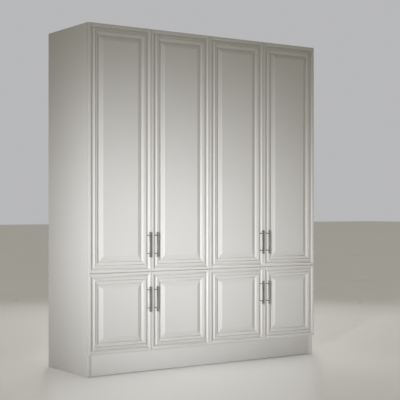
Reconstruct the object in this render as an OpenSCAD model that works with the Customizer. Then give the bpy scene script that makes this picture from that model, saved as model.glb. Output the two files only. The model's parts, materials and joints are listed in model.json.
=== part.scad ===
// Fitted armoire: two double-door units side by side on a common plinth.
// Four tall doors over four short ones, framed with mitred moulding round raised panels.
// Front faces -Y, +Z is up, and the origin is the centre of the whole footprint on the floor.

/* [Overall] */
// Overall width of both units together
width = 2000; // [1600:10:2400]
// Overall height from the floor
height = 2400; // [2000:10:2880]
// Depth from the back to the doors' faces, without the handles
depth = 600; // [500:10:700]
// Height of the plinth under the doors
plinth_h = 150; // [120:5:180]
// Height of the gap between the low and the tall doors
split_z = 700; // [650:10:850]

/* [Boards] */
// Thickness of the two end panels
end_t = 25; // [22:1:30]
// Thickness of the inner sides, top, decks, shelves and rails
board_t = 18; // [16:0.1:22]
// Thickness of the back panels
back_t = 8; // [4:1:10]
// Underside of the hat shelf below the top of the armoire
hat_drop = 340; // [280:10:420]
// Underside of the low shelf above the bottom board
low_rise = 252; // [160:4:280]

/* [Doors] */
// Thickness of a door's frame
door_t = 22; // [20:0.1:26.4]
// Gap between neighbouring doors
door_gap = 3; // [2:0.5:4]
// Gap between the doors' backs and the boards behind them
door_clear = 2; // [1.8:0.1:3]
// Width of the moulded frame round the panel
frame_w = 76; // [62:1:92]
// Width of the bevel round the panel's flat field
bevel_w = 30; // [22:1:40]

/* [Handles] */
// Distance between the two posts
post_pitch = 128; // [96:32:160]
// Overall length with the turned ends
handle_l = 176; // [150:1:220]
// Diameter of the bar
bar_d = 9; // [8:0.5:12]
// Height of the bar's front above the door's face
handle_out = 30; // [26:1:36]
// Distance from the gap between the door rows to a handle's middle
handle_z = 190; // [150:5:230]

/* [Hardware] */
// Diameter of the hanging rails
rail_d = 25; // [22:1:30]
// Diameter of the holes for wall screws
wall_hole_d = 6.5; // [5:0.5:8]

/* [Hidden] */
$fn = 48;
over = 1;                         // extra length of a cutter past a face
hair = 0.05;                      // between pieces that are made apart and fitted together
unit_w = width / 2;
door_pitch = width / 4;
door_w = door_pitch - door_gap;
y_back = (depth + handle_out) / 2;  // rear of the carcass
y_face = y_back - depth;            // front plane of the doors
y_front = y_face + door_t + door_clear;  // front edges of the boards
rail_y = y_back - board_t;          // rear face of the back panel
inner_y = rail_y - back_t;          // front face of the back panel
deck_z = split_z - board_t / 2;
hat_z = height - hat_drop;
low_z = plinth_h + board_t + low_rise;

// Moulding of the frame, as depths below its face
edge_r = 1.5;
rim_w = 15;
valley_d = 5.5;                   // the hollow between rim and crown, which carries the handle posts
valley_in = 25;
valley_out = 32;
crown_in = 45;
crown_out = 50;
step_d = 3;
lip_d = 10;                       // the frame's inner edge, above the panel's groove
groove_d = 12;
groove_t = 6;
groove_l = 10;
tongue_l = 9;
quirk_w = 2;
bevel_low = 11;
bevel_top = 2.4;
field_d = 0.8;

// Handle
handle_in = 28.5;                 // from the door's edge to the handle's axis
bar_y = bar_d / 2 - handle_out;   // depth of the bar's axis
post_d = 6;
post_foot_d = 7;                  // fits the moulding's hollow
bead_d = 10;                      // collar of a post, just behind the bar
bead_t = 5;
screw_d = 4;

// Concealed hinges
cup_d = 35;
cup_in = 21.5;                    // from the door's edge to the cup's centre
cup_deep = 12;
cup_wall = 1.2;
flange_t = 1.2;
arm_w = 16;
arm_t = 9;
plate_t = 4.5;
plate_l = 60;
hinge_end = 90;                   // from a door's end to its first hinge
tall_hinges = 4;
low_hinges = 2;

// Legs under the bottom boards
leg_r = 16;
leg_in = 60;
leg_front_y = y_front + 70;
leg_back_y = y_back - 80;
plinth_t = 16;
plinth_set = 5;                   // how far the plinth stands back from the end panels' edges
plinth_low = 2;
plinth_top = plinth_h - 3;

// Shelf pins, cams and bolts
pin_d = 5;
pin_deep = 10;
pin_out = 8;
pin_step = 32;
pin_inset = 37;
cam_d = 15;
cam_deep = 12.5;
cam_in = 30;
bolt_d = 8;

paint = [0.74, 0.72, 0.68];
lining = [0.86, 0.84, 0.80];
board = [0.80, 0.77, 0.72];
steel = [0.55, 0.54, 0.52];
nickel = [0.72, 0.72, 0.72];
black = [0.12, 0.12, 0.13];
clear_pad = [0.85, 0.86, 0.86];

// ---- where things are ----

// The left unit is modelled, and the right one is its mirror image.
module unit(side) {
    if (side == "left") children();
    else mirror([1, 0, 0]) children();
}

inner_left = end_t - width / 2;   // the left unit's clear space, from its end panel
inner_right = -board_t;           // to its inner side
inner_w = inner_right - inner_left;
inner_d = inner_y - y_front;

// A door's own frame: X from its hinged edge, Y into its thickness, Z from its foot.
function hung_left(col) = col % 2 == 1;
function door_z(row) = row == "tall" ? split_z + door_gap / 2 : plinth_h;
function door_h(row) = row == "tall"
    ? height - split_z - door_gap : split_z - plinth_h - door_gap / 2;
function hinge_x(col) = (hung_left(col) ? (col - 1) : col) * door_pitch - width / 2
    + (hung_left(col) ? 1 : -1) * door_gap / 2;
module at_door(col, row) {
    translate([hinge_x(col), y_face, door_z(row)])
        mirror([hung_left(col) ? 0 : 1, 0, 0]) children();
}

function hinge_count(row) = row == "tall" ? tall_hinges : low_hinges;
function hinge_heights(row) = [for (i = [0 : hinge_count(row) - 1])
    hinge_end + i * (door_h(row) - 2 * hinge_end) / (hinge_count(row) - 1)];
// From a door's hinged edge to the inner face of the board it is hung on
function hung_in(col) = ((col == 1 || col == 4) ? end_t : board_t) - door_gap / 2;
function handle_at(row) = row == "tall"
    ? handle_z - door_gap / 2 : door_h(row) - handle_z + door_gap / 2;

// ---- the carcass ----

// A side's rows of pin holes, its groove for the back panel and its bolt holes, cut from inside.
// These are drawn for a side whose inner face is at X = 0 and which lies towards -X.
function pin_rows() = [y_front + pin_inset, inner_y - pin_inset];
function pin_z(k) = low_z - pin_d / 2 + k * pin_step;

module side_cuts() {
    translate([-back_t, rail_y - back_t, plinth_h])
        cube([back_t + over, back_t, height - plinth_h + over]);
    for (y = pin_rows(), k = [-2 : 2])
        translate([-pin_deep, y, pin_z(k)]) rotate([0, 90, 0]) cylinder(d = pin_d, h = pin_deep + over, $fn = 24);
}

bolt_places = [for (y = [y_front + 110, y_back - 130], z = [plinth_h + 150, height / 2, height - 200]) [y, z]];

module end_panel(side) {
    color(paint) unit(side) difference() {
        translate([-width / 2, y_front, 0]) cube([end_t, y_back - y_front, height]);
        translate([inner_left, 0, 0]) side_cuts();
    }
}

module inner_side(side) {
    color(lining) unit(side) difference() {
        translate([-board_t, y_front, plinth_h]) cube([board_t, y_back - y_front, height - plinth_h]);
        translate([inner_right, 0, 0]) mirror([1, 0, 0]) side_cuts();
        for (p = bolt_places)
            translate([-board_t - over, p[0], p[1]]) rotate([0, 90, 0]) cylinder(d = bolt_d, h = board_t + 2 * over);
    }
}

cam_places = [for (x = [inner_left + cam_in, inner_right - cam_in], y = [y_front + 60, inner_y - 60]) [x, y]];

// A board across one unit, with a pocket for a cam lock near each corner of its underside.
module cross_board(side, z, tint) {
    color(tint) unit(side) difference() {
        translate([inner_left, y_front, z]) cube([inner_w, inner_d, board_t]);
        for (p = cam_places)
            translate([p[0], p[1], z - over]) cylinder(d = cam_d, h = cam_deep + over);
    }
}

board_heights = [height - board_t, hat_z, deck_z, plinth_h];

module top_board(side) { cross_board(side, height - board_t, lining); }
module hat_shelf(side) { cross_board(side, hat_z, lining); }
module deck(side) { cross_board(side, deck_z, lining); }
module bottom_board(side) { cross_board(side, plinth_h, lining); }

module low_shelf(side) {
    color(lining) unit(side)
        translate([inner_left + 1, y_front + 20, low_z]) cube([inner_w - 2, inner_d - 22, board_t]);
}

wall_hole_x = inner_w / 2 - 180;
wall_hole_z = height - 60;
unit_mid = (inner_left + inner_right) / 2;

module wall_holes(d, h) {
    for (dx = [-wall_hole_x, wall_hole_x])
        translate([unit_mid + dx, y_back + over, wall_hole_z]) rotate([90, 0, 0]) cylinder(d = d, h = h);
}

module back_panel(side) {
    color(board) unit(side) difference() {
        translate([inner_left - back_t, inner_y, plinth_h])
            cube([inner_w + 2 * back_t, back_t, height - plinth_h]);
        wall_holes(2 * wall_hole_d, board_t + back_t + 2 * over);
    }
}

module wall_rails() {
    color(board) for (side = ["left", "right"]) unit(side) {
        difference() {
            translate([inner_left, rail_y, height - 110]) cube([inner_w, board_t, 100]);
            wall_holes(wall_hole_d, board_t + 2 * over);
        }
        translate([inner_left, rail_y, plinth_h]) cube([inner_w, board_t, 100]);
    }
}

rail_z = hat_z - 58;
rail_mid_y = (y_front + inner_y) / 2;
socket_l = 14;

module hanging_rail(side) {
    color(nickel) unit(side) translate([inner_left + 3, rail_mid_y, rail_z]) rotate([0, 90, 0])
        difference() {
            cylinder(d = rail_d, h = inner_w - 6);
            translate([0, 0, -over]) cylinder(d = rail_d - 3, h = inner_w);
        }
}

// A cup for one end of a hanging rail, closed at the board and screwed through its round flange.
module rail_socket() {
    rotate([0, 90, 0]) difference() {
        union() {
            cylinder(d = rail_d + 28, h = 3);
            cylinder(d = rail_d + 6, h = socket_l);
        }
        translate([0, 0, 3]) cylinder(d = rail_d, h = socket_l);
    }
}

module rail_sockets() {
    color(nickel) for (side = ["left", "right"]) unit(side) {
        translate([inner_left, rail_mid_y, rail_z]) rail_socket();
        translate([inner_right, rail_mid_y, rail_z]) mirror([1, 0, 0]) rail_socket();
    }
}

module shelf_pin() {
    rotate([0, 90, 0]) {
        translate([0, 0, -pin_deep]) cylinder(d = pin_d, h = pin_deep, $fn = 24);
        cylinder(d = pin_d, h = pin_out, $fn = 24);
    }
}

module shelf_pins() {
    color(nickel) for (side = ["left", "right"]) unit(side) for (y = pin_rows()) {
        translate([inner_left, y, pin_z(0)]) shelf_pin();
        translate([inner_right, y, pin_z(0)]) mirror([1, 0, 0]) shelf_pin();
    }
}

// Cam locks with a driver slot, and the bolts that hold the two inner sides together.
module cam_lock() {
    difference() {
        cylinder(d = cam_d, h = cam_deep);
        translate([-cam_d / 2 + 3, -0.75, -over]) cube([cam_d - 6, 1.5, 2.5 + over]);
    }
}

module connector_bolt() {
    rotate([0, 90, 0]) {
        translate([0, 0, -board_t]) cylinder(d = bolt_d, h = 2 * board_t);
        for (end = [0, 1]) mirror([0, 0, end]) translate([0, 0, board_t]) cylinder(d = 15, h = 2);
    }
}

module board_fittings() {
    color(nickel) {
        for (side = ["left", "right"], z = board_heights) unit(side)
            for (p = cam_places) translate([p[0], p[1], z]) cam_lock();
        for (p = bolt_places) translate([0, p[0], p[1]]) connector_bolt();
    }
}

// ---- the plinth and the legs ----

module plinth_board() {
    color(paint) translate([inner_left, y_front + plinth_set, plinth_low])
        cube([-2 * inner_left, plinth_t, plinth_top - plinth_low]);
}

leg_xs = [-unit_w / 2, -leg_in];

module levelling_leg() {
    difference() {
        union() {
            translate([0, 0, plinth_h - 6]) cylinder(d = 70, h = 6);
            translate([0, 0, 34]) cylinder(r = leg_r, h = plinth_h - 34);
        }
        translate([0, 0, 34 - over]) cylinder(r = 11 + hair, h = 46);
    }
    cylinder(r1 = 25, r2 = 27, h = 4);
    translate([0, 0, 4]) cylinder(r = 27, h = 5);
    translate([0, 0, 9]) cylinder(r = 11, h = 60);
}

module levelling_legs() {
    color(black) for (side = ["left", "right"]) unit(side)
        for (x = leg_xs, y = [leg_front_y, leg_back_y]) translate([x, y, 0]) levelling_leg();
}

// A clip screwed to the plinth's back, with a ring that is open at the rear and snaps round a leg.
module plinth_clip() {
    clip_z = plinth_h / 2;
    ring_r = leg_r + 3;
    plate_y = y_front + plinth_set + plinth_t;
    translate([0, 0, clip_z - 12]) {
        difference() {
            union() {
                translate([0, leg_front_y, 0]) cylinder(r = ring_r, h = 24);
                translate([-8, plate_y, 0]) cube([16, leg_front_y - plate_y - leg_r, 24]);
            }
            translate([0, leg_front_y, -over]) cylinder(r = leg_r + hair, h = 24 + 2 * over);
            translate([-ring_r, leg_front_y + leg_r * 0.5, -over]) cube([2 * ring_r, ring_r, 24 + 2 * over]);
        }
        translate([-22, plate_y, -8]) cube([44, 3, 40]);
    }
}

module plinth_clips() {
    color(black) for (side = ["left", "right"]) unit(side)
        for (x = leg_xs) translate([x, 0, 0]) plinth_clip();
}

// ---- the doors ----

// A smooth slope from a to b in [distance, depth], level at both ends
function slope(a, b, n = 5) = [for (i = [0 : n]) let (t = i / n)
    [a[0] + (b[0] - a[0]) * t, a[1] + (b[1] - a[1]) * (1 - cos(180 * t)) / 2]];
// A bulging quarter curve from a down to b, level at a
function ovolo(a, b, n = 6) = [for (i = [0 : n]) let (t = 90 * i / n)
    [a[0] + (b[0] - a[0]) * sin(t), b[1] - (b[1] - a[1]) * cos(t)]];

frame_outline = concat(
    [[0, door_t], [0, edge_r], [edge_r, 0]],
    slope([rim_w, 0], [valley_in, valley_d]),
    slope([valley_out, valley_d], [crown_in, 0]),
    [[crown_out, 0]],
    ovolo([crown_out + 1, step_d], [frame_w, lip_d]),
    [[frame_w, groove_d], [frame_w - groove_l, groove_d], [frame_w - groove_l, groove_d + groove_t],
     [frame_w, groove_d + groove_t], [frame_w, door_t]]);

// One stile, standing on its foot, with both ends mitred at 45 degrees. A hair's breadth is left
// at each mitre, so that the four members stay separate pieces.
module stile(length) {
    f = frame_w;
    g = hair;
    intersection() {
        linear_extrude(length) polygon(frame_outline);
        translate([0, door_t, 0]) rotate([90, 0, 0]) linear_extrude(door_t)
            polygon([[0, g], [f, f + g], [f, length - f - g], [0, length - g]]);
    }
}

module rail(length) { mirror([1, 0, -1]) stile(length); }

module door_frame(col, row) {
    h = door_h(row);
    color(paint) at_door(col, row) {
        difference() {
            stile(h);
            for (z = hinge_heights(row)) translate([cup_in, door_t + over, z]) rotate([90, 0, 0])
                cylinder(d = cup_d, h = cup_deep + over);
        }
        translate([door_w, 0, 0]) mirror([1, 0, 0]) difference() {
            stile(h);
            for (s = [-1, 1]) translate([handle_in, -over, handle_at(row) + s * post_pitch / 2])
                rotate([-90, 0, 0]) cylinder(d = screw_d + 0.5, h = door_t + 2 * over, $fn = 24);
        }
        rail(door_w);
        translate([0, 0, h]) mirror([0, 0, 1]) rail(door_w);
    }
}

// The panel's section across a width, from tongue to tongue
function panel_outline(w) = let (
        a = frame_w - tongue_l, b = frame_w + quirk_w, c = frame_w + quirk_w + bevel_w,
        half = [[a, groove_d + groove_t], [a, groove_d], [b, groove_d], [b, bevel_low], [c, bevel_top], [c, field_d]])
    concat(half, [for (i = [len(half) - 1 : -1 : 0]) [w - half[i][0], half[i][1]]]);

// Two sections, one along each way, meet in mitred bevels.
module door_panel(col, row) {
    h = door_h(row);
    color(paint) at_door(col, row) intersection() {
        linear_extrude(h) polygon(panel_outline(door_w));
        mirror([1, 0, -1]) linear_extrude(door_w) polygon(panel_outline(h));
    }
}

// The turned bar: a plain middle, and past each post a neck, a collar and a tapered tip.
end_l = (handle_l - post_pitch) / 2;
bar_outline = let (r = bar_d / 2, m = post_pitch / 2 + 5, e = end_l - 5)
    [[0, 0], [r, 0], [r, m], [r - 1.2, m + 0.05 * e], [r - 1.2, m + 0.13 * e], [r, m + 0.18 * e], [r, m + 0.32 * e],
     [r - 1, m + 0.37 * e], [r - 0.6, m + 0.53 * e], [r - 1.8, m + 0.84 * e], [0, m + e]];

module handle_post() {
    seat = valley_d;
    difference() {
        union() {
            translate([0, bar_y, 0]) rotate([-90, 0, 0]) cylinder(d = post_d, h = seat - bar_y);
            translate([0, seat - 2, 0]) rotate([-90, 0, 0]) cylinder(d = post_foot_d, h = 2);
            translate([0, bar_y + bar_d / 2 + bead_t / 2, 0]) for (s = [-1, 1])
                rotate([s * 90, 0, 0]) cylinder(d1 = bead_d, d2 = post_d, h = bead_t / 2);
        }
        translate([0, bar_y, -bead_d]) cylinder(d = bar_d + 2 * hair, h = 2 * bead_d);
        translate([0, seat - 14 - hair, 0]) rotate([-90, 0, 0])
            cylinder(d = screw_d + 2 * hair, h = 14 + over, $fn = 24);
    }
}

module handle_screw() {
    translate([0, valley_d - 14, 0]) rotate([-90, 0, 0])
        cylinder(d = screw_d, h = door_t - valley_d + 14, $fn = 24);
    translate([0, door_t, 0]) rotate([-90, 0, 0]) cylinder(d1 = 9, d2 = 6, h = 2.2, $fn = 24);
}

module door_handle(col, row) {
    color(steel) at_door(col, row) translate([door_w - handle_in, 0, handle_at(row)]) {
        translate([0, bar_y, 0]) for (s = [0, 1]) mirror([0, 0, s]) rotate_extrude() polygon(bar_outline);
        for (s = [-1, 1]) translate([0, 0, s * post_pitch / 2]) {
            handle_post();
            handle_screw();
        }
    }
}

// A hinge cup sunk in the door's back, with the flange that carries its two screws.
module hinge_cup() {
    difference() {
        union() {
            translate([0, door_t - cup_deep, 0]) rotate([-90, 0, 0]) cylinder(d = cup_d, h = cup_deep + flange_t);
            translate([0, door_t, 0]) rotate([-90, 0, 0]) cylinder(d = cup_d + 4, h = flange_t);
            translate([-6, door_t, -28]) cube([14, flange_t, 56]);
        }
        translate([0, door_t - cup_deep + cup_wall, 0]) rotate([-90, 0, 0])
            cylinder(d = cup_d - 2 * cup_wall, h = cup_deep + 2 * over);
    }
}

module door_cups(col, row) {
    color(nickel) at_door(col, row)
        for (z = hinge_heights(row)) translate([cup_in, 0, z]) hinge_cup();
}

// A hinge arm, from its plate on the board's inner face forward into the open cup.
// side_in is the distance from the door's hinged edge to that inner face.
tip_far = 35;
module hinge_arm(side_in) {
    near = side_in + plate_t;
    tip_near = max(side_in + 1, 23);
    back_y = door_t + door_clear + plate_l + 8;
    translate([0, 0, -arm_w / 2]) linear_extrude(arm_w) polygon([
        [tip_near, door_t - 8], [tip_far, door_t - 8], [tip_far, door_t + 3], [near + arm_t, door_t + 14],
        [near + arm_t, back_y], [near, back_y], [near, door_t + door_clear + 5], [tip_near, door_t + 3]]);
}

module hinge_plate(side_in) {
    translate([side_in, door_t + door_clear + 6, 0]) {
        translate([0, 0, -10]) cube([plate_t, plate_l, 20]);
        translate([0, 24, -22]) cube([plate_t - 1.5, 14, 44]);
    }
}

module every_hinge() {
    for (col = [1 : 4], row = ["tall", "low"]) at_door(col, row)
        for (z = hinge_heights(row)) translate([0, 0, z]) {
            $side_in = hung_in(col);
            children();
        }
}

module hinge_plates() { color(nickel) every_hinge() hinge_plate($side_in); }
module hinge_arms() { color(nickel) every_hinge() hinge_arm($side_in); }

// Pads on the boards' front edges, for the doors to close on.
pad_r = 3;
pad_gap = 0.3;                    // between a pad and a closed door
pad_t = door_clear - pad_gap;

module door_bumpers() {
    color(clear_pad) for (col = [1 : 4], row = ["tall", "low"]) at_door(col, row) {
        ends = row == "tall" ? [deck_z + board_t - pad_r - 1, height - board_t / 2]
            : [plinth_h + board_t / 2, deck_z + pad_r + 1];
        for (z = ends) translate([door_w - 40, door_t + door_clear - pad_t, z - door_z(row)])
            rotate([-90, 0, 0]) cylinder(r = pad_r, h = pad_t, $fn = 24);
    }
}

end_panel("left");  // end_panel_left
end_panel("right");  // end_panel_right
inner_side("left");  // inner_side_left
inner_side("right");  // inner_side_right
top_board("left");  // top_board_left
top_board("right");  // top_board_right
deck("left");  // deck_left
deck("right");  // deck_right
bottom_board("left");  // bottom_board_left
bottom_board("right");  // bottom_board_right
hat_shelf("left");  // hat_shelf_left
hat_shelf("right");  // hat_shelf_right
low_shelf("left");  // low_shelf_left
low_shelf("right");  // low_shelf_right
back_panel("left");  // back_panel_left
back_panel("right");  // back_panel_right
hanging_rail("left");  // hanging_rail_left
hanging_rail("right");  // hanging_rail_right
rail_sockets();
shelf_pins();
wall_rails();
plinth_board();
plinth_clips();
levelling_legs();
hinge_plates();
hinge_arms();
board_fittings();
door_bumpers();
door_frame(1, "tall");  // tall_frame_1
door_frame(2, "tall");  // tall_frame_2
door_frame(3, "tall");  // tall_frame_3
door_frame(4, "tall");  // tall_frame_4
door_panel(1, "tall");  // tall_panel_1
door_panel(2, "tall");  // tall_panel_2
door_panel(3, "tall");  // tall_panel_3
door_panel(4, "tall");  // tall_panel_4
door_handle(1, "tall");  // tall_handle_1
door_handle(2, "tall");  // tall_handle_2
door_handle(3, "tall");  // tall_handle_3
door_handle(4, "tall");  // tall_handle_4
door_cups(1, "tall");  // tall_cups_1
door_cups(2, "tall");  // tall_cups_2
door_cups(3, "tall");  // tall_cups_3
door_cups(4, "tall");  // tall_cups_4
door_frame(1, "low");  // low_frame_1
door_frame(2, "low");  // low_frame_2
door_frame(3, "low");  // low_frame_3
door_frame(4, "low");  // low_frame_4
door_panel(1, "low");  // low_panel_1
door_panel(2, "low");  // low_panel_2
door_panel(3, "low");  // low_panel_3
door_panel(4, "low");  // low_panel_4
door_handle(1, "low");  // low_handle_1
door_handle(2, "low");  // low_handle_2
door_handle(3, "low");  // low_handle_3
door_handle(4, "low");  // low_handle_4
door_cups(1, "low");  // low_cups_1
door_cups(2, "low");  // low_cups_2
door_cups(3, "low");  // low_cups_3
door_cups(4, "low");  // low_cups_4
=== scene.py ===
import json
import math
import bpy
import numpy as np
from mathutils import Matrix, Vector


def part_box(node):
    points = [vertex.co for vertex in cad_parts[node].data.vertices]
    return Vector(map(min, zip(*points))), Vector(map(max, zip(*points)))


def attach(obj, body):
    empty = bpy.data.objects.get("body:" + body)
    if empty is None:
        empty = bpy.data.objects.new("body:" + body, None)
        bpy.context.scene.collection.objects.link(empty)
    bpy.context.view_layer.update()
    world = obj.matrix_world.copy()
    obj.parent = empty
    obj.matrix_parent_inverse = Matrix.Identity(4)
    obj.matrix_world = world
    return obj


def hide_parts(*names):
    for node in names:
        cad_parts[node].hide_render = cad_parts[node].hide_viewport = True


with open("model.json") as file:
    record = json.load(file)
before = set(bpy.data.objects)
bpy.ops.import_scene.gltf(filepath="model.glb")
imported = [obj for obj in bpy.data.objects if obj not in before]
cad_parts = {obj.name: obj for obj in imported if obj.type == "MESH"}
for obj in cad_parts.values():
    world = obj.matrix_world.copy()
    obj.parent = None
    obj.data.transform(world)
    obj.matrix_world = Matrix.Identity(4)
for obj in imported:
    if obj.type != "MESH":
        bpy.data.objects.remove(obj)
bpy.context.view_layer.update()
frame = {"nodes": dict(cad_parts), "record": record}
nodes = frame["nodes"]
mm = 0.001


# One socket in a material. Sums, differences and products of sockets each add a Math node.
class Value:
    def __init__(self, finish, socket):
        self.finish = finish
        self.socket = socket

    def step(self, operation, first, second=0.0, clamp=False):
        settings = {"operation": operation, "use_clamp": clamp}
        return self.finish.add("ShaderNodeMath", settings, {0: first, 1: second})

    def __add__(self, other):
        return self.step("ADD", self, other)

    def __radd__(self, other):
        return self.step("ADD", other, self)

    def __sub__(self, other):
        return self.step("SUBTRACT", self, other)

    def __rsub__(self, other):
        return self.step("SUBTRACT", other, self)

    def __mul__(self, other):
        return self.step("MULTIPLY", self, other)

    def __rmul__(self, other):
        return self.step("MULTIPLY", other, self)

    def clamped(self):
        return self.step("ADD", self, 0.0, clamp=True)

    def isBelow(self, limit):
        return self.step("LESS_THAN", self, limit)


# A material with one Principled shader. The fixed values go straight onto its sockets.
class Finish:
    def __init__(self, name, **fixed):
        self.material = bpy.data.materials.new(name)
        self.material.use_nodes = True
        self.tree = self.material.node_tree
        self.shader = self.tree.nodes["Principled BSDF"]
        for socket, number in fixed.items():
            self.shader.inputs[socket.replace("_", " ")].default_value = number
        self.material.diffuse_color = tuple(self.shader.inputs["Base Color"].default_value)
        self.place = self.add("ShaderNodeTexCoord", out="Object")

    def add(self, kind, settings=None, inputs=None, out=0):
        node = self.tree.nodes.new(kind)
        for name, setting in (settings or {}).items():
            setattr(node, name, setting)
        for key, thing in (inputs or {}).items():
            if isinstance(thing, Value):
                self.tree.links.new(thing.socket, node.inputs[key])
            else:
                node.inputs[key].default_value = thing
        return Value(self, node.outputs[out])

    def scaled(self, x, y, z):
        return self.add("ShaderNodeMapping", None, {"Vector": self.place, "Scale": (x, y, z)})

    def noise(self, scale, detail=3.0, rough=0.5, at=None):
        inputs = {"Vector": at or self.place, "Scale": scale, "Detail": detail, "Roughness": rough}
        return self.add("ShaderNodeTexNoise", None, inputs)

    def mix(self, factor, first, second):
        inputs = {"Factor": factor, 6: first, 7: second}
        return self.add("ShaderNodeMix", {"data_type": "RGBA"}, inputs, out=2)

    def bump(self, height, distance, strength=1.0, below=None):
        inputs = {"Height": height, "Distance": distance, "Strength": strength}
        if below:
            inputs["Normal"] = below
        return self.add("ShaderNodeBump", None, inputs)

    def feed(self, **links):
        for socket, value in links.items():
            self.tree.links.new(value.socket, self.shader.inputs[socket.replace("_", " ")])
        return self.material


# The dark olive colour is painted shade for the moulding's hollows, and its amount sets how strongly it
# is laid on.
paint = {
    "light": (0.62, 0.605, 0.572, 1), "deep": (0.575, 0.558, 0.515, 1),
    "hollowShade": (0.20, 0.188, 0.135, 1), "hollowShadeAmount": 0.66, "rough": 0.6, "peel": 0.00010,
}


# Sprayed satin paint, a little cloudy, with painted shade wiped like a glaze into the hollows of the
# moulding, where shade falls.
# The point attribute "recess" is 1 in the bottom of a hollow and 0 on the flats.
def satinPaint():
    f = Finish("satinPaint", Base_Color=paint["light"], Roughness=paint["rough"], Specular_IOR_Level=0.2)
    cloud = f.noise(2.4, 4.0)
    speck = f.noise(420.0, 2.0)
    recess = f.add("ShaderNodeAttribute", {"attribute_name": "recess"}, out="Fac")
    wiped = f.noise(26.0, 4.0, 0.6, f.scaled(1.0, 1.0, 0.35))
    tone = f.mix((cloud * 0.7 + speck * 0.15 - 0.15).clamped(), paint["light"], paint["deep"])
    # Painted shade: the hollows are mixed towards the dark olive colour, more where the recess attribute
    # is high.
    paintedShade = (recess * (0.55 + 0.9 * wiped) * paint["hollowShadeAmount"]).clamped()
    tone = f.mix(paintedShade, tone, paint["hollowShade"])
    peel = f.bump(f.noise(650.0, 1.5), paint["peel"], 0.5)
    sag = f.bump(f.noise(34.0, 3.0, 0.5), 0.0004, 0.2, peel)
    rough = paint["rough"] - 0.06 + 0.12 * f.noise(18.0, 4.0) + 0.12 * paintedShade
    return f.feed(Base_Color=tone, Roughness=rough, Normal=sag)


# Melamine board with a fine pearl texture. Its banded front edge is smoother and a shade lighter.
def laminate(name, light, deep, rough, edgeY):
    f = Finish(name, Base_Color=light, Roughness=rough)
    y = f.add("ShaderNodeSeparateXYZ", None, {"Vector": f.place}, out="Y")
    band = y.isBelow(edgeY)
    tone = f.mix((f.noise(3.0, 3.0) * 0.8 + f.noise(300.0, 2.0) * 0.3).clamped(), light, deep)
    tone = f.mix(band * 0.6, tone, (0.74, 0.725, 0.69, 1))
    pearl = f.bump(f.noise(900.0, 2.0, 0.6), 0.00008, 0.5)
    uneven = rough - 0.06 + 0.12 * f.noise(12.0, 4.0) - 0.14 * band
    return f.feed(Base_Color=tone, Roughness=uneven, Normal=pearl)


# Metals: tone and roughness drift in soft patches, over a grain drawn along one axis by its scales.
def metal(name, tone, dull, rough, grainScale, depth):
    f = Finish(name, Base_Color=tone, Metallic=1.0, Roughness=rough)
    patch = f.noise(38.0, 4.0)
    grain = f.noise(40.0, 3.0, 0.6, f.scaled(*grainScale))
    fine = f.bump(f.noise(1500.0, 2.0), 0.00002, 0.4)
    uneven = rough - 0.12 + 0.14 * patch + 0.12 * grain
    return f.feed(Base_Color=f.mix(patch, tone, dull), Roughness=uneven,
                  Normal=f.bump(grain, depth, 0.6, fine))


# Moulded plastic with a fine grain and lighter scuffed patches.
def mouldedPlastic(name, tone, rough):
    f = Finish(name, Base_Color=tone, Roughness=rough)
    scuff = f.noise(45.0, 5.0, 0.65)
    grain = f.bump(f.noise(1100.0, 2.0, 0.6), 0.00012, 0.6)
    worn = tuple(0.8 * t + 0.02 for t in tone[:3]) + (1,)
    return f.feed(Base_Color=f.mix(scuff, tone, worn), Roughness=rough - 0.1 + 0.2 * scuff, Normal=grain)


# A cloudy, partly clear plastic.
def clearPad():
    f = Finish("clearPad", Base_Color=(0.75, 0.75, 0.73, 1), Roughness=0.3, Transmission_Weight=0.4)
    cloudy = f.noise(260.0, 3.0)
    return f.feed(Roughness=0.24 + 0.16 * cloudy, Normal=f.bump(cloudy, 0.00006, 0.5))


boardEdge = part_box("deck_left")[0][1] + 0.3 * mm
finishes = {
    "paint": satinPaint(),
    "lining": laminate("boardLaminate", (0.70, 0.685, 0.65, 1), (0.65, 0.632, 0.595, 1), 0.5, boardEdge),
    "back_board": laminate("backLaminate", (0.655, 0.64, 0.605, 1), (0.60, 0.583, 0.545, 1), 0.6, -1.0),
    "handle_steel": metal("turnedSteel", (0.22, 0.215, 0.205, 1), (0.15, 0.147, 0.138, 1), 0.46,
                          (1, 1, 60), 0.00004),
    "hinge_nickel": metal("nickelPlate", (0.62, 0.61, 0.585, 1), (0.52, 0.51, 0.485, 1), 0.30,
                          (1, 30, 1), 0.00002),
    "rail_chrome": metal("chromePlate", (0.78, 0.78, 0.79, 1), (0.70, 0.70, 0.71, 1), 0.18,
                         (30, 1, 1), 0.00001),
    "leg_plastic": mouldedPlastic("legPlastic", (0.022, 0.022, 0.024, 1), 0.5),
    "bumper": clearPad(),
}
for entry in frame["record"]["subparts"]:
    for holder in nodes[entry["node"]].material_slots:
        holder.material = finishes[entry["material_slot"]]
print("finishes made:", len(finishes))


# The corner numbers of every square in a grid of points, row by row.
def squares(rows, cols, wrapCols=False):
    i = np.arange(rows - 1)[:, None]
    j = np.arange(cols if wrapCols else cols - 1)[None, :]
    right = (j + 1) % cols
    corners = [i * cols + j, i * cols + right, (i + 1) * cols + right, (i + 1) * cols + j]
    return np.stack(corners, -1).reshape(-1, 4)


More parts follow.
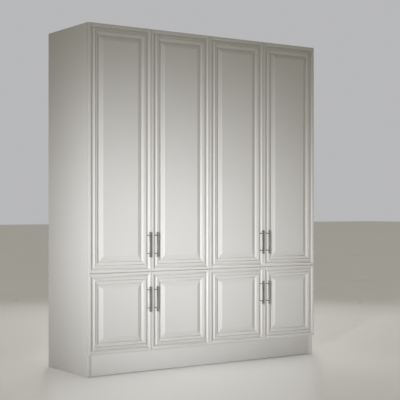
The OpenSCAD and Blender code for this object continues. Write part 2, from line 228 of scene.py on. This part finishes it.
# Each corner (x, y, r) becomes a curve that leaves one side r before the corner and joins the next
# side r after it: (1-t)^2 A + 2t(1-t) P + t^2 B.
def rounded(corners, steps=6):
    c = np.array(corners, float)
    p, r = c[:, :2], c[:, 2:]
    toPrev, toNext = np.roll(p, 1, 0) - p, np.roll(p, -1, 0) - p
    a = p + toPrev / np.linalg.norm(toPrev, axis=1, keepdims=True) * r
    b = p + toNext / np.linalg.norm(toNext, axis=1, keepdims=True) * r
    t = np.linspace(0, 1, steps)[None, :, None]
    points = (1 - t) ** 2 * a[:, None] + 2 * t * (1 - t) * p[:, None] + t ** 2 * b[:, None]
    points = points.reshape(-1, 2)
    return points[np.linalg.norm(points - np.roll(points, 1, 0), axis=1) > 1e-6]


# A run from a to b, each (distance, depth): the depth goes as 0.6 t + 0.4 (1 - cos 180t) / 2.
def slope(a, b, steps=10):
    t = np.linspace(0, 1, steps)[:, None]
    fall = 0.6 * t + 0.2 * (1 - np.cos(math.pi * t))
    return np.hstack([a[0] + (b[0] - a[0]) * t, a[1] + (b[1] - a[1]) * fall])


# A bulging arc from a to b, level at a: distance as sin 50t, depth as 1 - cos 50t, both over their
# values at the end.
def bulge(a, b, steps=10):
    t = np.linspace(0, math.radians(50), steps)[:, None]
    far, deep = np.sin(t) / np.sin(t[-1]), (1 - np.cos(t)) / (1 - np.cos(t[-1]))
    return np.hstack([a[0] + (b[0] - a[0]) * far, a[1] + (b[1] - a[1]) * deep])


# A closed part: its points, its squares, and its flat caps as rings of corner numbers. Where the
# volume under its triangles comes out negative, the faces point inwards and are all turned.
def closedPart(points, grid, caps=()):
    p = np.asarray(points, float).reshape(-1, 3)
    fans = [grid[:, [0, 1, 2]], grid[:, [0, 2, 3]]]
    for cap in caps:
        ring = np.asarray(cap)
        fans.append(np.stack([np.full(len(ring) - 2, ring[0]), ring[1:-1], ring[2:]], -1))
    a, b, c = (p[np.concatenate(fans)[:, k]] for k in range(3))
    middle = p.mean(0)
    if np.einsum("ij,ij->", a - middle, np.cross(b - middle, c - middle)) < 0:
        grid = grid[:, ::-1]
        caps = [list(cap)[::-1] for cap in caps]
    return p, grid.tolist() + [list(map(int, cap)) for cap in caps]


# Turns (radius, height) points about an axis: centre + axis * h + r * (cos a, sin a).
def lathe(profile, centre, axis, steps=28, flutes=0, fluteDepth=0.0):
    profile = np.asarray(profile, float)
    axis = np.asarray(axis, float)
    side = np.array([0.0, 0.0, 1.0]) if abs(axis[2]) < 0.9 else np.array([1.0, 0.0, 0.0])
    across = np.cross(axis, side)
    a = np.linspace(0, 2 * math.pi, steps, endpoint=False)
    ring = np.cos(a)[:, None] * side + np.sin(a)[:, None] * across
    swell = 1 + fluteDepth * np.cos(flutes * a)[None, :, None]
    radius, height = profile[:, 0, None, None], profile[:, 1, None, None]
    points = np.asarray(centre) + axis * height + ring[None] * radius * swell
    n = len(profile)
    caps = [list(range(steps)), [(n - 1) * steps + k for k in range(steps)][::-1]]
    return closedPart(points, squares(n, steps, wrapCols=True), caps)


# A flat outline carried from height low to high, with its rims eased by the same small amount.
# swing puts (x, y, height) on the wanted axes.
def slab(outline, low, high, ease, swing=lambda q: q):
    p = np.asarray(outline, float)
    edge = np.roll(p, -1, 0) - np.roll(p, 1, 0)
    normal = np.stack([edge[:, 1], -edge[:, 0]], -1) / np.linalg.norm(edge, axis=1, keepdims=True)
    x, y = p[:, 0], p[:, 1]
    if (x * np.roll(y, -1) - np.roll(x, -1) * y).sum() < 0:
        normal = -normal
    rings = [(low, ease), (low + 0.3 * ease, 0.3 * ease), (low + ease, 0), (high - ease, 0),
             (high - 0.3 * ease, 0.3 * ease), (high, ease)]
    points = [np.hstack([p - normal * inset, np.full((len(p), 1), z)]) for z, inset in rings]
    n = len(p)
    caps = [list(range(n)), [(len(rings) - 1) * n + k for k in range(n)][::-1]]
    return closedPart(swing(np.concatenate(points)), squares(len(rings), n, wrapCols=True), caps)


# One mesh from several closed parts.
def joinedMesh(name, parts):
    starts = np.cumsum([0] + [len(points) for points, rings in parts]).tolist()
    faces = [[k + start for k in ring] for (points, rings), start in zip(parts, starts) for ring in rings]
    mesh = bpy.data.meshes.new(name)
    mesh.from_pydata(np.concatenate([points for points, rings in parts]).tolist(), [], faces)
    return mesh


# One object from several parts, in metres. recess holds the painted shade at each point, part by part,
# and smooth is the angle between faces past which an edge stays sharp.
def makePiece(name, parts, body, finish, replaced, smooth=32.0, recess=None, cutters=None):
    mesh = joinedMesh(name, parts)
    if recess is not None:
        attribute = mesh.attributes.new("recess", "FLOAT", "POINT")
        attribute.data.foreach_set("value", recess.astype(np.float32))
    mesh.materials.append(finishes[finish])
    piece = bpy.data.objects.new(name, mesh)
    bpy.context.scene.collection.objects.link(piece)
    if cutters:
        cutAway(piece, cutters)
    piece.data.polygons.foreach_set("use_smooth", np.ones(len(piece.data.polygons), bool))
    piece.data.set_sharp_from_angle(angle=math.radians(smooth))
    piece.data.validate()
    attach(piece, body)
    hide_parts(*replaced)
    return piece


# Takes closed parts away from a piece, for pockets and holes.
def cutAway(piece, cutters):
    cutter = bpy.data.objects.new("cutter", joinedMesh("cutter", cutters))
    bpy.context.scene.collection.objects.link(cutter)
    cut = piece.modifiers.new("pockets", "BOOLEAN")
    cut.operation, cut.solver, cut.object = "DIFFERENCE", "EXACT", cutter
    depsgraph = bpy.context.evaluated_depsgraph_get()
    done = bpy.data.meshes.new_from_object(piece.evaluated_get(depsgraph))
    piece.modifiers.clear()
    piece.data = done
    bpy.data.objects.remove(cutter)


# In millimetres. Distances run inwards from the door's edge, and depths from its face.
door = {
    "gap": 3.0, "thick": 22.0, "edge": 1.5, "rim": 15.0, "width": 76.0, "lip": 10.0,
    "hollow": (25.0, 32.0, 5.5),  # where its floor starts and ends, and its depth
    "crown": (45.0, 50.0), "quirk": 3.0,
    "groove": (12.0, 18.0, 10.0),  # its front and back face, and how far it reaches in
    "tongue": 9.0, "quirkGap": 2.0,
    "bevel": (30.0, 11.0, 2.4),  # its width, and its depth at the outer and inner end
    "field": 0.8, "mitreGap": 0.05, "mitreEase": 0.5,
    "hingeEnd": 90.0, "hinges": {"tall": 4, "low": 2},
    "cup": (21.5, 17.5, 12.0),  # its middle, radius and depth
    # painted shade held at the hollow, at the quirk and beside the panel, laid on like a glaze: amount
    # and spread
    "paintedShade": {"hollow": (0.5, 5.0), "quirk": (0.8, 1.6), "panel": (0.12, 3.0)},
}
handle = {
    "in": 28.5, "fromSplit": 190.0, "posts": 128.0, "out": 30.0, "bar": 4.5,
    # half of the bar: radius and height from the middle
    "outline": [(4.3, 0), (4.3, 58.5), (4.6, 59.3), (5.3, 60.2), (5.5, 61.2), (5.2, 62.2),
                (4.7, 62.8), (4.7, 65.2), (5.2, 65.8), (5.5, 66.8), (5.3, 67.8), (4.4, 68.8),
                (3.4, 69.8), (3.0, 71.5), (3.3, 73.3), (4.2, 74.6), (5.1, 76.2), (5.6, 78.4),
                (5.6, 81.0), (5.3, 83.4), (4.6, 85.6), (3.4, 87.2), (1.8, 87.9), (0.05, 88)],
    # a post: radius and distance from the bar's axis
    "post": [(3.0, 3.2), (3.0, 5.0), (3.6, 5.8), (4.8, 6.5), (5.2, 7.4), (4.8, 8.3), (3.6, 9.1),
             (3.1, 10.2), (2.9, 14), (2.9, 23), (3.1, 26.5), (3.4, 28), (3.5, 30.8), (3.3, 31)],
    "screw": [(4.4, 0), (4.4, 0.5), (3.7, 1.4), (2.4, 2.1), (1.5, 2.2), (1.3, 1.4), (0.05, 1.2)],
}
hinge = {
    "armWide": 16.0, "armThick": 9.0, "plateThick": 4.5, "plateLong": 60.0, "clear": 2.0,
    "rim": 19.5, "flange": 1.2, "wall": 1.2,
    "tip": (35.0, 14.0, 25.0),  # how far in it ends, and its front and back face
    "armScrews": ((14.0, 1.6), (40.0, 0.8)),  # distance from the arm's rear end, and height
    "web": (20.0, 34.0, 4.5),  # from and to, measured from the rear end, and half its width
    "ear": [(-6, 16.6, 0), (8, 16.6, 0), (8, 28, 5), (-6, 28, 5)], "earScrew": 23.5,
    "footHalf": 10.0, "wing": (24.0, 38.0, 22.0), "wingThinner": 1.5, "wingScrew": 16.0,
    "head": [(3.6, 0), (3.5, 0.6), (2.6, 1.3), (1.6, 1.5), (1.3, 0.7), (0.05, 0.5)],
}


# A door's own frame: x from its hinged edge, y into its thickness, z from its foot, in millimetres.
class DoorPlace:
    def __init__(self, row, column):
        self.name = f"{row}_{column}"
        self.row, self.column = row, column
        self.body = f"{row}_door_{column}"
        low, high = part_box(f"{row}_frame_{column}")
        self.width, self.height = (high[0] - low[0]) / mm, (high[2] - low[2]) / mm
        self.left = column % 2 == 1
        self.corner = np.array([low[0] if self.left else high[0], low[1], low[2]])
        self.turn = np.array([mm if self.left else -mm, mm, mm])
        fromSplit = handle["fromSplit"] - door["gap"] / 2
        self.handleZ = fromSplit if row == "tall" else self.height - fromSplit
        ends = [door["hingeEnd"], self.height - door["hingeEnd"]]
        self.hingeZ = np.linspace(*ends, door["hinges"][row]).tolist()
        sideLow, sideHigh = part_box("end_panel_left" if column in (1, 4) else "inner_side_left")
        self.boardIn = (sideHigh[0] - sideLow[0]) / mm - door["gap"] / 2

    # A closed part moved from the door's frame to the room's. A mirrored part has its faces turned.
    def put(self, part):
        points, faces = part
        placed = self.corner + points * self.turn
        return placed, faces if self.left else [face[::-1] for face in faces]


# The section of a stile or rail: distance from the door's edge, and depth below its face.
def mouldingOutline():
    t, w = door["thick"], door["width"]
    hollowIn, hollowOut, hollowDeep = door["hollow"]
    crownIn, crownOut = door["crown"]
    top, bottom, reach = door["groove"]
    edge = rounded([(0, t, 0.6), (0, 0, door["edge"]), (5, 0, 0)], 5)[:-1]
    run = np.concatenate([slope((door["rim"], 0), (hollowIn, hollowDeep)),
                          slope((hollowOut, hollowDeep), (crownIn, 0)),
                          [(crownOut - 0.6, 0), (crownOut, 0.3), (crownOut + 0.3, door["quirk"] - 0.3)],
                          bulge((crownOut + 1, door["quirk"]), (w, door["lip"]))])
    back = [(w, top), (w - reach, top), (w - reach, bottom), (w, bottom), (w, t - 0.6), (w - 0.6, t)]
    return np.concatenate([edge, run, back])


# How much painted shade a point holds: bell curves round the hollow, the quirk and the groove by the
# panel.
def paintedShadeHeld(distance, depth):
    middles = {"hollow": (door["hollow"][0] + door["hollow"][1]) / 2,
               "quirk": door["crown"][1] + 0.8, "panel": door["width"]}
    held = sum(amount * np.exp(-((distance - middles[spot]) / spread) ** 2)
               for spot, (amount, spread) in door["paintedShade"].items())
    return np.clip(np.where(depth < door["groove"][0] + 0.5, held, 0), 0, 1)


# The section carried along a member and cut at 45 degrees: the point at distance u from the door's
# edge runs from u to length - u, and its face sinks a little just before the cut.
def member(outline, length):
    u, d = outline[:, 0], outline[:, 1]
    front = (d < door["groove"][0]) & (u > 0.01)
    gap, ease = door["mitreGap"], door["mitreEase"]
    ends = [(gap, 1, 0.3), (gap + ease, 1, 0.0), (length - gap - ease, -1, 0.0), (length - gap, -1, 0.3)]
    rings = [np.stack([u, d + np.where(front, sunk, 0), start + side * u], -1)
             for start, side, sunk in ends]
    n = len(outline)
    caps = [list(range(n)), [3 * n + k for k in range(n)][::-1]]
    return np.concatenate(rings), squares(4, n, wrapCols=True), caps


# Two stiles and two rails from the same section, mitred, with a round pocket for each hinge's cup.
def makeFrame(place):
    outline = mouldingOutline()
    w, h = place.width, place.height
    parts = []
    for side, length in (("hinge", h), ("free", h), ("foot", w), ("head", w)):
        points, grid, caps = member(outline, length)
        if side == "free":
            points = points * [-1, 1, 1] + [w, 0, 0]
        elif side != "hinge":
            points = points[:, [2, 1, 0]]
        if side == "head":
            points = points * [1, 1, -1] + [0, 0, h]
        parts.append(place.put(closedPart(points, grid, caps)))
    centre, radius, deep = door["cup"]
    t, loose = door["thick"], 0.05
    pocket = [(0.05, t - deep - loose), (radius + loose, t - deep - loose),
              (radius + loose, t + 1), (0.05, t + 1)]
    cutters = [place.put(lathe(pocket, (centre, 0, z), (0, 1, 0), 40)) for z in place.hingeZ]
    # Painted shade for the frame's hollows, point by point.
    paintedShade = np.tile(paintedShadeHeld(outline[:, 0], outline[:, 1]), 4 * len(parts))
    return makePiece(f"doorFrame_{place.name}", parts, place.body, "paint",
                     [f"{place.row}_frame_{place.column}"], recess=paintedShade, cutters=cutters)


# The panel's section carried round the four sides: the point at distance u from the door's edge
# becomes a rectangle inset by u, so the bevels meet in mitres.
def makePanel(place):
    w, h = place.width, place.height
    top, bottom, reach = door["groove"]
    bevelWide, bevelLow, bevelTop = door["bevel"]
    inner = door["width"] + door["quirkGap"]
    outer = door["width"] - door["tongue"]
    field = inner + bevelWide
    end = field + 4
    front = rounded([(outer, bottom, 0.3), (outer, top, 0.5), (inner, top, 0.3),
                     (inner + 0.6, bevelLow, 0.8), (field, bevelTop, 1.2),
                     (field + 0.7, door["field"], 0.5), (end, door["field"], 0),
                     (end, bottom, 0)], 5)
    front = front[front[:, 0] < end - 0.1]
    u, d = front[:, 0], front[:, 1]
    points = np.stack([np.stack([u, d, u], -1), np.stack([w - u, d, u], -1),
                       np.stack([w - u, d, h - u], -1), np.stack([u, d, h - u], -1)], 1)
    n = len(front)
    caps = [[0, 1, 2, 3], [4 * n - 1, 4 * n - 2, 4 * n - 3, 4 * n - 4]]
    part = closedPart(points, squares(n, 4, wrapCols=True), caps)
    # Painted shade beside the panel's groove, point by point.
    paintedShade = np.repeat(paintedShadeHeld(u, d), 4)
    return makePiece(f"raisedPanel_{place.name}", [place.put(part)], place.body, "paint",
                     [f"{place.row}_panel_{place.column}"], smooth=14.0, recess=paintedShade)


# The bar's outline is mirrored about its middle. Posts and screw heads are turned about the depth.
def makeHandle(place):
    axisY = handle["bar"] - handle["out"]
    x, z = place.width - handle["in"], place.handleZ
    half = np.array(handle["outline"])
    parts = [lathe(np.concatenate([half[::-1] * [1, -1], half[1:]]), (x, axisY, z), (0, 0, 1), 28)]
    for s in (-1, 1):
        height = z + s * handle["posts"] / 2
        parts.append(lathe(handle["post"], (x, axisY, height), (0, 1, 0), 24))
        parts.append(lathe(handle["screw"], (x, door["thick"], height), (0, 1, 0), 20))
    return makePiece(f"barHandle_{place.name}", [place.put(part) for part in parts], place.body,
                     "handle_steel", [f"{place.row}_handle_{place.column}"])


# A sunk cup with a rolled rim, and an ear with a countersunk screw above and below it.
def makeCups(place):
    centre, radius, deep = door["cup"]
    t, wall, rim, flange = door["thick"], hinge["wall"], hinge["rim"], hinge["flange"]
    inside = radius - wall
    low = t - deep
    profile = [(0.05, low + wall), (inside - 2, low + wall), (inside - 0.6, low + wall + 0.6),
               (inside, low + wall + 2), (inside, t + flange - 0.5), (inside + 0.5, t + flange),
               (rim - 0.6, t + flange), (rim, t + flange - 0.5), (rim, t), (radius, t),
               (radius, low + 0.8), (radius - 0.8, low), (0.05, low)]
    ear = rounded(hinge["ear"], 7)
    parts = []
    for z in place.hingeZ:
        parts.append(lathe(profile, (centre, 0, z), (0, 1, 0), 40))
        for s in (-1, 1):
            swing = lambda q, s=s: np.stack([centre + q[:, 0], q[:, 2], z + s * q[:, 1]], -1)
            parts.append(slab(ear, t, t + flange, 0.3, swing))
            spot = (centre + 1, t + flange, z + s * hinge["earScrew"])
            parts.append(lathe(hinge["head"], spot, (0, 1, 0), 18))
    return makePiece(f"hingeCups_{place.name}", [place.put(part) for part in parts], place.body,
                     "hinge_nickel", [f"{place.row}_cups_{place.column}"])


# A hinge's arm: a rounded bar from the side board forward into its cup, with two set screws.
def hingeArm(place, z):
    near = place.boardIn + hinge["plateThick"]
    far = near + hinge["armThick"]
    front = door["thick"] + hinge["clear"]
    rear = front + hinge["plateLong"] + 8
    tip, low, high = hinge["tip"]
    tipNear = max(place.boardIn + 1, 23)
    half = hinge["armWide"] / 2
    outline = rounded([(tipNear, low, 1.5), (tip, low, 3), (tip, high, 2), (far, high + 11, 5),
                       (far, rear, 3), (near, rear, 0.5), (near, front + 5, 2), (tipNear, high, 1)], 6)
    parts = [slab(outline, z - half, z + half, 1.2)]
    for back, tall in hinge["armScrews"]:
        screw = np.array(hinge["head"]) * [1.1, 1.0] + [0, tall - 1.5]
        parts.append(lathe(screw, (far, rear - back, z), (1, 0, 0), 18))
    webNear, webFar, webHalf = hinge["web"]
    web = rounded([(rear - webFar, -webHalf, 3), (rear - webNear, -webHalf, 3),
                   (rear - webNear, webHalf, 3), (rear - webFar, webHalf, 3)], 6)
    swing = lambda q: np.stack([q[:, 2], q[:, 0], z + q[:, 1]], -1)
    parts.append(slab(web, far - 0.5, far + 0.5, 0.3, swing))
    return [place.put(part) for part in parts]


# Its plate on the side board: a long foot under the arm, two wings and a screw in each wing.
def hingePlate(place, z):
    x, y = place.boardIn, door["thick"] + hinge["clear"] + 6
    thick, length, half = hinge["plateThick"], hinge["plateLong"], hinge["footHalf"]
    start, stop, reach = hinge["wing"]
    top = x + thick - hinge["wingThinner"]
    swing = lambda q: np.stack([q[:, 2], q[:, 0], z + q[:, 1]], -1)
    foot = rounded([(y, -half, 3), (y + length, -half, 3), (y + length, half, 3), (y, half, 3)], 6)
    wing = rounded([(y + start, -reach, 5), (y + stop, -reach, 5), (y + stop, reach, 5),
                    (y + start, reach, 5)], 6)
    parts = [slab(foot, x, x + thick, 0.5, swing), slab(wing, x, top, 0.4, swing)]
    for s in (-1, 1):
        spot = (top, y + (start + stop) / 2, z + s * hinge["wingScrew"])
        parts.append(lathe(hinge["head"], spot, (1, 0, 0), 18))
    return [place.put(part) for part in parts]


places = [DoorPlace(row, column) for row in ("tall", "low") for column in range(1, 5)]
for place in places:
    makeFrame(place)
    makePanel(place)
    makeHandle(place)
    makeCups(place)
print("doors made:", len(places))

arms = [part for place in places for z in place.hingeZ for part in hingeArm(place, z)]
plates = [part for place in places for z in place.hingeZ for part in hingePlate(place, z)]
makePiece("hingeArms", arms, "carcass", "hinge_nickel", ["hinge_arms"])
makePiece("hingePlates", plates, "carcass", "hinge_nickel", ["hinge_plates"])
print("hinges made:", sum(len(place.hingeZ) for place in places))

fittings = {
    "legs": {"x": (500.0, 60.0), "inset": 27.0, "rib": 4.0, "ribs": 6},
    # a leg's outer tube, from the screw's socket round its foot and up to the flange
    "tube": [(0.05, 80), (11.6, 79.5), (11.6, 35), (12.2, 34), (15.2, 34), (16, 35), (16, 138),
             (17, 142.5), (20, 144), (34, 144.3), (35, 145.2), (35, 150), (0.05, 150)],
    "foot": [(0.05, 0), (25, 0), (26.6, 1.5), (27, 4), (27, 8), (26, 9), (14, 9.6), (11, 10.5),
             (10.5, 12), (0.05, 12)],
    "thread": {"radius": 10.6, "depth": 0.5, "pitch": 3.0, "low": 11.0, "high": 68.0},
    "socket": [(0.05, 3), (12.5, 3), (12.5, 13.4), (13, 14), (15.2, 14), (15.8, 13.4), (15.8, 6),
               (16.6, 4), (18.5, 3.2), (25.8, 3), (26.5, 2.4), (26.5, 0), (0.05, 0)],
    "pin": [(0.05, -10), (2.1, -10), (2.5, -9.5), (2.5, -0.1), (3.6, 0), (3.7, 0.4), (3.6, 0.9),
            (2.5, 1.1), (2.5, 7.3), (2.0, 8), (0.05, 8)],
    "pad": [(0.05, 0), (1.5, 0.1), (2.4, 0.45), (2.9, 1.0), (3.0, 1.5), (3.0, 1.7), (0.05, 1.7)],
    "cupScrews": 21.0, "pinRadius": 2.5,
    # a pad's distance from the free edge and gap to the door, and its inset on deck and boards
    "pads": {"in": 40.0, "gap": 0.3, "deck": 4.0, "board": 9.0},
}


# A screw's thread: the radius at height z and angle a swings with cos(a - 360 z / pitch).
def threadPart(centre):
    t = fittings["thread"]
    rows, steps = 115, 24
    z = np.linspace(t["low"], t["high"], rows)[:, None]
    a = np.linspace(0, 2 * math.pi, steps, endpoint=False)[None, :]
    r = t["radius"] + t["depth"] * np.cos(a - 2 * math.pi * z / t["pitch"])
    points = np.stack([r * np.cos(a), r * np.sin(a), z + 0 * a], -1) + centre
    caps = [list(range(steps)), [(rows - 1) * steps + k for k in range(steps)][::-1]]
    return closedPart(points, squares(rows, steps, wrapCols=True), caps)


# Adjustable feet: a fluted disc on a threaded screw, a tube and a ribbed flange under the board.
def makeLegs():
    low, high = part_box("levelling_legs")
    legs, parts = fittings["legs"], []
    front, rear = low[1] / mm + legs["inset"], high[1] / mm - legs["inset"]
    rib = rounded([(15.6, 112, 0.5), (17, 112, 1), (33, 144.2, 1), (33, 145, 0.3), (15.6, 145, 0.3)], 4)
    for x in (-legs["x"][0], -legs["x"][1], legs["x"][1], legs["x"][0]):
        for y in (front, rear):
            parts.append(lathe(fittings["tube"], (x, y, 0), (0, 0, 1), 36))
            parts.append(lathe(fittings["foot"], (x, y, 0), (0, 0, 1), 72, 12, 0.018))
            parts.append(threadPart((x, y, 0)))
            for k in range(legs["ribs"]):
                angle = 2 * math.pi * k / legs["ribs"]
                c, s = math.cos(angle), math.sin(angle)
                turn = lambda q, c=c, s=s: np.stack([x + c * q[:, 0] - s * q[:, 2],
                                                     y + s * q[:, 0] + c * q[:, 2], q[:, 1]], -1)
                parts.append(slab(rib, -legs["rib"] / 2, legs["rib"] / 2, 0.4, turn))
    makePiece("levellingFeet", [(p * mm, f) for p, f in parts], "carcass", "leg_plastic",
              ["levelling_legs"])


# Cups for the hanging rails, and pins for the low shelves, at both sides of both units.
def makeRailCupsAndPins():
    cups, pins = [], []
    out, r = fittings["cupScrews"], fittings["pinRadius"]
    for side in ("left", "right"):
        low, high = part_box(f"hanging_rail_{side}")
        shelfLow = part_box(f"low_shelf_{side}")[0][2] / mm
        pinLow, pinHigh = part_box("shelf_pins")
        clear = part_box(f"deck_{side}")
        y, z = (low[1] + high[1]) / 2 / mm, (low[2] + high[2]) / 2 / mm
        for wall, axis in ((clear[0][0] / mm, 1.0), (clear[1][0] / mm, -1.0)):
            cups.append(lathe(fittings["socket"], (wall, y, z), (axis, 0, 0), 40))
            for a in (math.pi / 2, math.pi * 7 / 6, math.pi * 11 / 6):
                spot = (wall + axis * 3, y + out * math.cos(a), z + out * math.sin(a))
                cups.append(lathe(hinge["head"], spot, (axis, 0, 0), 18))
            for pinY in (pinLow[1] / mm + r, pinHigh[1] / mm - r):
                pins.append(lathe(fittings["pin"], (wall, pinY, shelfLow - r), (axis, 0, 0), 20))
    makePiece("railCups", [(p * mm, f) for p, f in cups], "carcass", "rail_chrome", ["rail_sockets"])
    makePiece("shelfPins", [(p * mm, f) for p, f in pins], "carcass", "hinge_nickel", ["shelf_pins"])


# Domed pads on the boards' front edges, two for each door near its free edge.
def makePads():
    pads = fittings["pads"]
    onDeck, onBoard = pads["deck"] * mm, pads["board"] * mm
    deckLow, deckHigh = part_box("deck_left")[0][2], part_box("deck_left")[1][2]
    heights = {"tall": (deckHigh - onDeck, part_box("top_board_left")[1][2] - onBoard),
               "low": (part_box("bottom_board_left")[0][2] + onBoard, deckLow + onDeck)}
    parts = []
    for place in places:
        for z in heights[place.row]:
            height = (z - place.corner[2]) / mm
            centre = (place.width - pads["in"], door["thick"] + pads["gap"], height)
            parts.append(place.put(lathe(fittings["pad"], centre, (0, 1, 0), 24)))
    makePiece("doorPads", parts, "carcass", "bumper", ["door_bumpers"])


# The plinth: a board whose long edges are eased, drawn as its end section carried along x.
def makePlinth():
    low, high = (np.array(corner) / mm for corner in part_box("plinth_board"))
    section = rounded([(low[1], low[2], 1), (high[1], low[2], 1), (high[1], high[2], 1),
                       (low[1], high[2], 1.5)], 5)
    part = slab(section, low[0], high[0], 0.3, lambda q: q[:, [2, 0, 1]])
    makePiece("plinthFront", [(part[0] * mm, part[1])], "carcass", "paint", ["plinth_board"])


makeLegs()
makeRailCupsAndPins()
makePads()
makePlinth()
print("fittings made")

studio = {
    "floor": (0.84, 0.837, 0.83, 1), "backdrop": (0.48, 0.482, 0.49, 1),
    "ambient": (0.165, 0.158, 0.122, 1),
    "eye": (-4.3995, -6.4656, 1.1442), "yaw": 34.9, "lens": 93.75, "shift": 0.0202, "reach": 60.0,
    "overhead": {"strength": 1.15, "angle": 20.0, "tint": (1.0, 0.985, 0.94)},
    # two narrow lights from one place, aimed low and high at the doors' front
    "key": {"place": (-7.8, -6.7, 1.75), "power": 7.8, "spread": 16.5, "tint": (0.90, 0.915, 1.0),
            "aims": {"keyLow": (-0.03, -0.28, 0.45), "keyHigh": (-0.33, -0.28, 1.2)}},
    "back": {"place": (3.0, 4.5, 3.2), "aim": (0.3, 0.3, 1.2), "power": 60.0, "spread": 120.0,
             "tint": (1.0, 0.99, 0.97)},
}


# A flat floor far larger than the armoire.
def makeFloor():
    mesh = bpy.data.meshes.new("studioFloor")
    r = studio["reach"]
    mesh.from_pydata([(-r, -r, 0), (r, -r, 0), (r, r, 0), (-r, r, 0)], [], [(0, 1, 2, 3)])
    floor = bpy.data.objects.new("studioFloor", mesh)
    bpy.context.scene.collection.objects.link(floor)
    f = Finish("paleFloor", Base_Color=studio["floor"], Roughness=0.3)
    mesh.materials.append(f.feed(Roughness=0.24 + 0.12 * f.noise(1.2, 3.0)))


# An area light at a place, turned so that it shines at its target.
def makeLight(name, place, target, size, power, spread, tint):
    lamp = bpy.data.lights.new(name, "AREA")
    lamp.shape, lamp.size, lamp.size_y = "RECTANGLE", size[0], size[1]
    lamp.energy, lamp.spread, lamp.color = power, math.radians(spread), tint
    holder = bpy.data.objects.new(name, lamp)
    away = np.array(place, float) - np.array(target, float)
    holder.location = place
    tilt = math.acos(away[2] / np.linalg.norm(away))
    holder.rotation_euler = (tilt, 0, math.atan2(away[1], away[0]) + math.pi / 2)
    bpy.context.scene.collection.objects.link(holder)


# Light straight down, which the floor gives back to the doors.
def makeOverhead():
    lamp = bpy.data.lights.new("overhead", "SUN")
    sun = studio["overhead"]
    lamp.energy, lamp.angle, lamp.color = sun["strength"], math.radians(sun["angle"]), sun["tint"]
    bpy.context.scene.collection.objects.link(bpy.data.objects.new("overhead", lamp))


# A level camera, turned by yaw away from the front's own direction.
def makeCamera():
    lens = bpy.data.cameras.new("eye")
    lens.lens, lens.sensor_width, lens.shift_y = studio["lens"], 36.0, studio["shift"]
    eye = bpy.data.objects.new("eye", lens)
    eye.location = studio["eye"]
    eye.rotation_euler = (math.radians(90), 0, math.radians(-studio["yaw"]))
    bpy.context.scene.collection.objects.link(eye)
    bpy.context.scene.camera = eye


# The sky that is seen is a brighter grey than the one that lights the room.
def makeWorld():
    world = bpy.data.worlds.new("studio")
    world.use_nodes = True
    tree = world.node_tree
    background, seen = tree.nodes["Background"], tree.nodes.new("ShaderNodeLightPath")
    blend = tree.nodes.new("ShaderNodeMix")
    blend.data_type = "RGBA"
    blend.inputs[6].default_value = studio["ambient"]
    blend.inputs[7].default_value = studio["backdrop"]
    tree.links.new(seen.outputs["Is Camera Ray"], blend.inputs["Factor"])
    tree.links.new(blend.outputs[2], background.inputs["Color"])
    bpy.context.scene.world = world


makeFloor()
makeCamera()
key, back = studio["key"], studio["back"]
for name, aim in key["aims"].items():
    makeLight(name, key["place"], aim, (1.0, 1.0), key["power"], key["spread"], key["tint"])
makeLight("backLight", back["place"], back["aim"], (3.0, 3.0), back["power"], back["spread"],
          back["tint"])
makeOverhead()
makeWorld()
bpy.context.scene.view_settings.view_transform = "Standard"
print("stage set")
